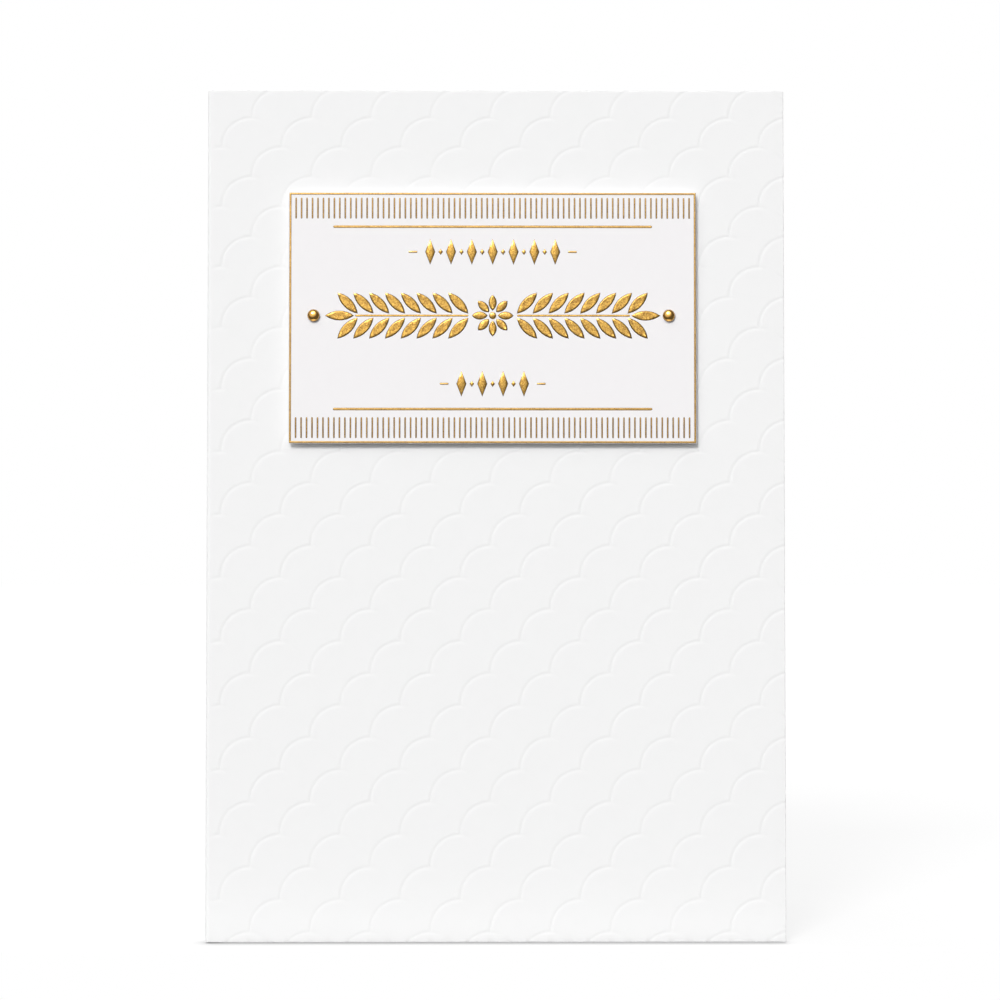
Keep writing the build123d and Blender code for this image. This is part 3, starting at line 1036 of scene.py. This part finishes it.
class CARD_OT_ticks(bpy.types.Operator):
    """Make the two bands of foil ticks"""

    bl_idname = "card.ticks"
    bl_label = "Foil Ticks"

    def execute(self, context):
        foil = context.scene.card_foil
        for node in ("foil_ticks_upper", "foil_ticks_lower"):
            low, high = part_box(node)
            stations = bar_stations(high.z - low.z, foil.tick_width)
            form = pressed_form("tick", stations, foil.line_relief, foil.line_shoulder)
            count = round((high.x - low.x - foil.tick_width) / foil.tick_pitch) + 1
            start = (low.x + foil.tick_width / 2, plaque_face, low.z)
            step = (foil.tick_pitch, 0, 0)
            row = row_of(form, count, start, step, line_foil(), angle=-pi / 2)
            foil_piece(node.replace("foil", "gold"), [row], line_foil(), node)
            drop(form)
        return {"FINISHED"}


class CARD_OT_lozenges(bpy.types.Operator):
    """Make the two rows of faceted lozenges with a bead between each two"""

    bl_idname = "card.lozenges"
    bl_label = "Foil Lozenges"

    def execute(self, context):
        foil = context.scene.card_foil
        material = broad_foil()
        for node in ("foil_lozenges_upper", "foil_lozenges_lower"):
            low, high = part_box(node)
            height = high.z - low.z
            middle = (low.z + high.z) / 2
            count = round((high.x - low.x - foil.lozenge_width) / foil.lozenge_pitch) + 1
            outline = lozenge_stations(height, foil.lozenge_width)
            tall = pressed_form("lozenge", outline, foil.relief, foil.shoulder, foil.ridge)
            outline = lozenge_stations(foil.bead_height, foil.bead_width)
            small = pressed_form("bead", outline, foil.relief / 2, foil.line_shoulder, foil.ridge)
            first = low.x + foil.lozenge_width / 2
            step = (foil.lozenge_pitch, 0, 0)
            bead_start = (first + foil.lozenge_pitch / 2, plaque_face, middle - foil.bead_height / 2)
            rows = [
                row_of(tall, count, (first, plaque_face, low.z), step, material, angle=-pi / 2),
                row_of(small, count - 1, bead_start, step, material, angle=-pi / 2),
            ]
            foil_piece(node.replace("foil", "gold"), rows, material, node)
            drop(tall, small)
        return {"FINISHED"}


class CARD_OT_laurel(bpy.types.Operator):
    """Make the laurel band: a rosette and two branches that run out to the studs"""

    bl_idname = "card.laurel"
    bl_label = "Foil Laurel"

    def execute(self, context):
        foil = context.scene.card_foil
        material = broad_foil()
        low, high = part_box("foil_laurel")
        middle = Vector(((low.x + high.x) / 2, plaque_face, (low.z + high.z) / 2))
        reach = (high.x - low.x) / 2
        stem_start = foil.eye_radius + foil.petal_gap + foil.petal_length + foil.branch_gap
        tip_foot = reach - foil.leaf_length
        lean = foil.leaf_length * cos(foil.leaf_lean)
        pairs = int((reach - lean - stem_start) / foil.leaf_pitch) + 1
        away = foil.stem_width / 2 + foil.leaf_gap
        outline = lens_stations(foil.leaf_length, foil.leaf_width)
        leaf = pressed_form("leaf", outline, foil.relief, foil.shoulder, -foil.leaf_vein)
        outline = bar_stations(tip_foot - foil.leaf_gap - stem_start, foil.stem_width)
        stem = pressed_form("stem", outline, foil.line_relief, foil.line_shoulder)
        outline = lens_stations(foil.petal_length, foil.petal_width)
        petal = pressed_form("petal", outline, foil.relief, foil.shoulder, -foil.leaf_vein)
        petal.data.transform(Matrix.Translation((foil.eye_radius + foil.petal_gap, 0, 0)))
        eye = self.eye(foil)
        rows = []
        still = (0, 0, 0)
        for half_turn in (0, pi):
            way = cos(half_turn)
            for form, out in ((stem, stem_start), (leaf, tip_foot)):
                foot = middle + Vector((way * out, 0, 0))
                rows.append(row_of(form, 1, foot, still, material, half_turn))
            for side in (-1, 1):
                foot = middle + Vector((way * stem_start, 0, way * side * away))
                step = (way * foil.leaf_pitch, 0, 0)
                angle = half_turn - side * foil.leaf_lean
                rows.append(row_of(leaf, pairs, foot, step, material, angle))
        rows.append(row_of(petal, foil.petals, middle, still, material, 0.0, 2 * pi / foil.petals))
        rows.append(row_of(eye, 1, middle, still, material))
        foil_piece("gold_laurel", rows, material, "foil_laurel")
        drop(leaf, stem, petal, eye)
        return {"FINISHED"}

    def eye(self, foil):
        """Low round boss at the rosette's heart."""
        relief = foil.relief
        levels = [(1, -SUNK), (1, 0), (0.93, 0.6 * relief), (0.75, relief), (0.4, 1.25 * relief)]
        rings = []
        for factor, painted_crease_shade in levels:
            radius = foil.eye_radius * factor
            rings.append([(radius * cos(a), -painted_crease_shade, radius * sin(a)) for a in circle_angles(20)])
        rings.append([(0, -1.3 * relief, 0)])
        return lofted("rosette_eye", rings)


def circle_angles(count):
    """Angles evenly round a circle."""
    return [2 * pi * i / count for i in range(count)]


class CARD_OT_studs(bpy.types.Operator):
    """Make the two domed studs"""

    bl_idname = "card.studs"
    bl_label = "Studs"

    def execute(self, context):
        settings = context.scene.card_studs
        material = stud_material(settings)
        for node in ("stud_left", "stud_right"):
            low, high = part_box(node)
            radius = (high.x - low.x) / 2
            height = high.y - low.y
            middle = (low + high) / 2
            steps = 10
            levels = [(radius, high.y)]
            for step in range(steps):
                angle = pi / 2 * step / steps
                painted_crease_shade = settings.rim + (height - settings.rim) * sin(angle)
                levels.append((radius * cos(angle), high.y - painted_crease_shade))
            rings = []
            for ring_radius, y in levels:
                circle = [(ring_radius * cos(a), ring_radius * sin(a)) for a in circle_angles(40)]
                rings.append(facing_reader(circle, middle, y))
            rings.append([(middle.x, low.y, middle.z)])
            piece = lofted("domed_" + node, rings, material)
            seat(piece, "stud_metal", node, sharp=60)
        return {"FINISHED"}


class CARD_OT_stage(bpy.types.Operator):
    """Set up the floor, the lamps, the room and the camera"""

    bl_idname = "card.stage"
    bl_label = "Stage"

    def execute(self, context):
        settings = context.scene.card_stage
        self.floor(settings)
        lean = settings.key_lean
        roll = settings.key_roll
        towards_key = Vector((-sin(lean) * sin(roll), -cos(lean), sin(lean) * cos(roll)))
        self.key(context, settings, towards_key)
        self.room(context, settings)
        self.camera(context, settings)
        context.scene.view_settings.view_transform = "Standard"
        return {"FINISHED"}

    def key(self, context, settings, towards_key):
        """Wide soft key light, even over the whole floor."""
        data = bpy.data.lights.new("key", "SUN")
        data.energy = settings.key_strength
        data.angle = settings.key_spread
        lamp = bpy.data.objects.new("key", data)
        context.scene.collection.objects.link(lamp)
        lamp.rotation_euler = (-towards_key).to_track_quat("-Z", "Y").to_euler()

    def floor(self, settings):
        """Wide pale floor. The camera and reflections see it lifted to white, with its shadow and a
        painted contact shadow.
        """
        front = sheet_low.y - settings.floor_front
        far = 15
        corners = [(-far, front), (far, front), (far, far), (-far, far)]
        mesh_data = bmesh.new()
        mesh_data.faces.new([mesh_data.verts.new((x, y, 0)) for x, y in corners])
        material, tree = new_material("matt_white_sweep")
        path = add_node(tree, "ShaderNodeLightPath").outputs
        seen = path["Is Camera Ray"]
        for ray in ("Is Glossy Ray", "Is Transmission Ray"):
            seen = add_node(tree, "ShaderNodeMath", (seen, path[ray]), operation="MAXIMUM")
        # Painted contact shadow: ambient occlusion dims the white added for the camera and reflections
        # round what stands on the floor
        contact_shade = add_node(tree, "ShaderNodeAmbientOcclusion", {"Distance": settings.contact})
        sky = (contact_shade.outputs["AO"], settings.floor_lift)
        lift = add_node(tree, "ShaderNodeMath", sky, operation="MULTIPLY")
        strength = add_node(tree, "ShaderNodeMath", (seen, lift), operation="MULTIPLY")
        surface = {"Base Color": [*settings.floor_white, 1], "Roughness": 0.9, "Specular IOR Level": 0.0}
        white = {"Emission Color": (1, 1, 1, 1), "Emission Strength": strength}
        add_surface(tree, {**surface, **white})
        floor = new_piece("floor", mesh_data, material)
        floor.location.z = -settings.floor_gap

    def room(self, context, settings):
        """Dim room, a wide softbox before the card and a white wall behind. The camera sees white."""
        world = bpy.data.worlds.new("room")
        world.use_nodes = True
        tree = world.node_tree
        tree.nodes.clear()
        path = add_node(tree, "ShaderNodeLightPath").outputs
        where = add_node(tree, "ShaderNodeTexCoord").outputs["Generated"]
        soft = {"interpolation_type": "SMOOTHSTEP"}

        def lamp(left, lift, reach, full, low, high):
            """Round soft patch of light about a direction."""
            towards = Vector((-left, -cos(lift), sin(lift))).normalized()
            facing = add_node(tree, "ShaderNodeVectorMath", (where, towards), operation="DOT_PRODUCT")
            patch = (facing.outputs["Value"], cos(reach), cos(full), low, high)
            return add_node(tree, "ShaderNodeMapRange", patch, **soft)

        rays = (path["Is Glossy Ray"], path["Is Transmission Ray"])
        mirrored = add_node(tree, "ShaderNodeMath", rays, operation="MAXIMUM")
        dim = (mirrored, 0.0, 1.0, settings.dark_room, settings.mirrored_room)
        unlit = add_node(tree, "ShaderNodeMapRange", dim, **soft)
        edges = (settings.softbox_reach, settings.softbox_full)
        glow = lamp(settings.softbox_left, settings.softbox_lift, *edges, unlit, settings.softbox)
        edges = (settings.spot_reach, settings.spot_reach / 2)
        spot = lamp(settings.spot_left, settings.spot_lift, *edges, 0.0, settings.spot)
        direction = add_node(tree, "ShaderNodeSeparateXYZ", (where,)).outputs
        # Metal shows the floor where it mirrors down by 51 degrees or more, and all of it by 72
        floor = (direction["Z"], -0.95, -0.78, settings.mirrored_floor, 0.0)
        below = add_node(tree, "ShaderNodeMapRange", floor, **soft)
        both = add_node(tree, "ShaderNodeMath", (below, spot), operation="ADD")
        shine = add_node(tree, "ShaderNodeMath", (both, mirrored), operation="MULTIPLY")
        in_front = add_node(tree, "ShaderNodeMath", (glow, shine), operation="ADD")
        # The wall starts level with the card and is full a little behind it
        wall = (direction["Y"], 0.0, 0.3, in_front, settings.backdrop)
        all_round = add_node(tree, "ShaderNodeMapRange", wall, **soft)
        level = add_node(tree, "ShaderNodeMath", (path["Is Camera Ray"], all_round), operation="MAXIMUM")
        studio = add_node(tree, "ShaderNodeBackground", {"Color": (1, 1, 1, 1), "Strength": level})
        add_node(tree, "ShaderNodeOutputWorld", (studio,))
        context.scene.world = world

    def camera(self, context, settings):
        """Camera in front of the card, a little below its middle and looking slightly up."""
        data = bpy.data.cameras.new("camera")
        data.lens = settings.lens
        data.sensor_width = 36
        data.clip_start = 0.01
        camera = bpy.data.objects.new("camera", data)
        context.scene.collection.objects.link(camera)
        camera.location = (settings.side, sheet_low.y - settings.distance, settings.height)
        camera.rotation_euler = (pi / 2 + settings.tilt, 0, settings.pan)
        context.scene.camera = camera


class CARD_PT_sidebar(bpy.types.Panel):
    """Buttons for each group of pieces"""

    bl_idname = "CARD_PT_sidebar"
    bl_label = "Greeting Card"
    bl_space_type = "VIEW_3D"
    bl_region_type = "UI"
    bl_category = "Card"

    def draw(self, context):
        for operator in OPERATORS:
            self.layout.operator(operator.bl_idname)


SETTINGS = {
    "card_sheet": SheetSettings,
    "card_plaque": PlaqueSettings,
    "card_foil": FoilSettings,
    "card_studs": StudSettings,
    "card_stage": StageSettings,
}

OPERATORS = (
    CARD_OT_sheet,
    CARD_OT_plaque,
    CARD_OT_pads,
    CARD_OT_foil_lines,
    CARD_OT_ticks,
    CARD_OT_lozenges,
    CARD_OT_laurel,
    CARD_OT_studs,
    CARD_OT_stage,
)


def register():
    for kind in (*SETTINGS.values(), *OPERATORS, CARD_PT_sidebar):
        bpy.utils.register_class(kind)
    for name, kind in SETTINGS.items():
        setattr(bpy.types.Scene, name, bpy.props.PointerProperty(type=kind))


def unregister():
    for name in SETTINGS:
        delattr(bpy.types.Scene, name)
    for kind in reversed((*SETTINGS.values(), *OPERATORS, CARD_PT_sidebar)):
        bpy.utils.unregister_class(kind)


def main():
    register()
    bpy.ops.card.stage()
    bpy.ops.card.sheet()
    bpy.ops.card.plaque()
    bpy.ops.card.pads()
    bpy.ops.card.foil_lines()
    bpy.ops.card.ticks()
    bpy.ops.card.lozenges()
    bpy.ops.card.laurel()
    bpy.ops.card.studs()


if __name__ == "__main__":
    main()
